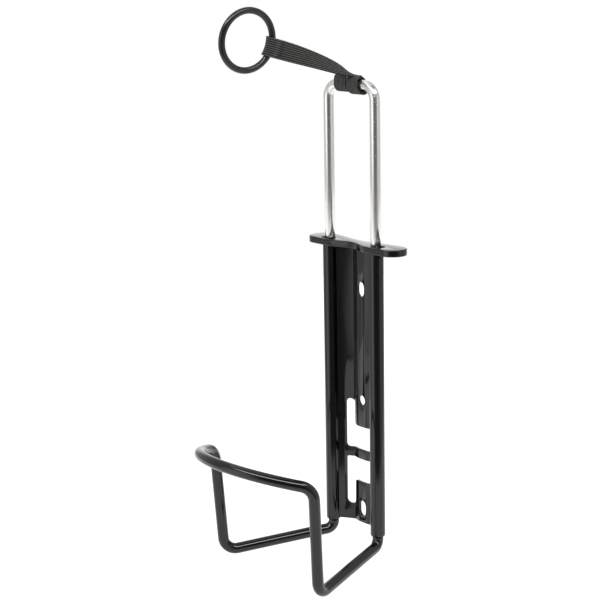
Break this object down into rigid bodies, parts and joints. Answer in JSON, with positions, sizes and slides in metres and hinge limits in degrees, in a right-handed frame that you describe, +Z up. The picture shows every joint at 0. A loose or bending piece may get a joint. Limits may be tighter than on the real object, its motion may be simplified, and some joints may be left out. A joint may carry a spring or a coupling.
{
  "type": "bottle cage",
  "caption": "Adjustable bicycle bottle cage: extruded backplate with side tubes, bent rod loop, sliding steel neck bail, lock plate, and a ring on an elastic strap.",
  "frame": {"origin": "on the flat rear face of the backplate's middle strip, halfway between its upper two bolt holes", "axes": "+X to the right seen from the rider's side, +Y towards the bicycle's tube, +Z up"},
  "size_m": [0.0982, 0.1087, 0.3102],
  "materials": {
    "black_extrusion": "gloss",
    "black_rod": "gloss",
    "polished_steel": "polished",
    "black_plate": "satin",
    "black_elastic": "matte",
    "black_thread": "matte",
    "black_ring": "satin"
  },
  "bodies": {
    "cage": {"backplate": "black_extrusion", "bottle_loop": "black_rod"},
    "bail": {"neck_bail": "polished_steel"},
    "lock": {"lock_plate": "black_plate"},
    "strap": {"elastic_strap": "black_elastic", "strap_stitching": "black_thread"},
    "ring": {"neck_ring": "black_ring"}
  },
  "joints": [
    {"name": "height_slide", "type": "slide", "parent": "cage", "child": "bail", "axis": [0, 0, 1], "range_m": [-0.078, 0.015]},
    {"name": "lock_tip", "type": "hinge", "parent": "cage", "child": "lock", "pos_m": [-0.0243, -0.0068, 0.0554], "axis": [0, -1, 0], "range_deg": [0, 3.5]},
    {"name": "strap_swing", "type": "hinge", "parent": "bail", "child": "strap", "pos_m": [0, -0.0068, 0.146], "axis": [-1, 0, 0], "range_deg": [-60, 110]},
    {"name": "ring_swing", "type": "hinge", "parent": "strap", "child": "ring", "pos_m": [0, -0.0598, 0.1681], "axis": [0.1392, 0.2563, 0.9565], "range_deg": [-25, 25]}
  ]
}
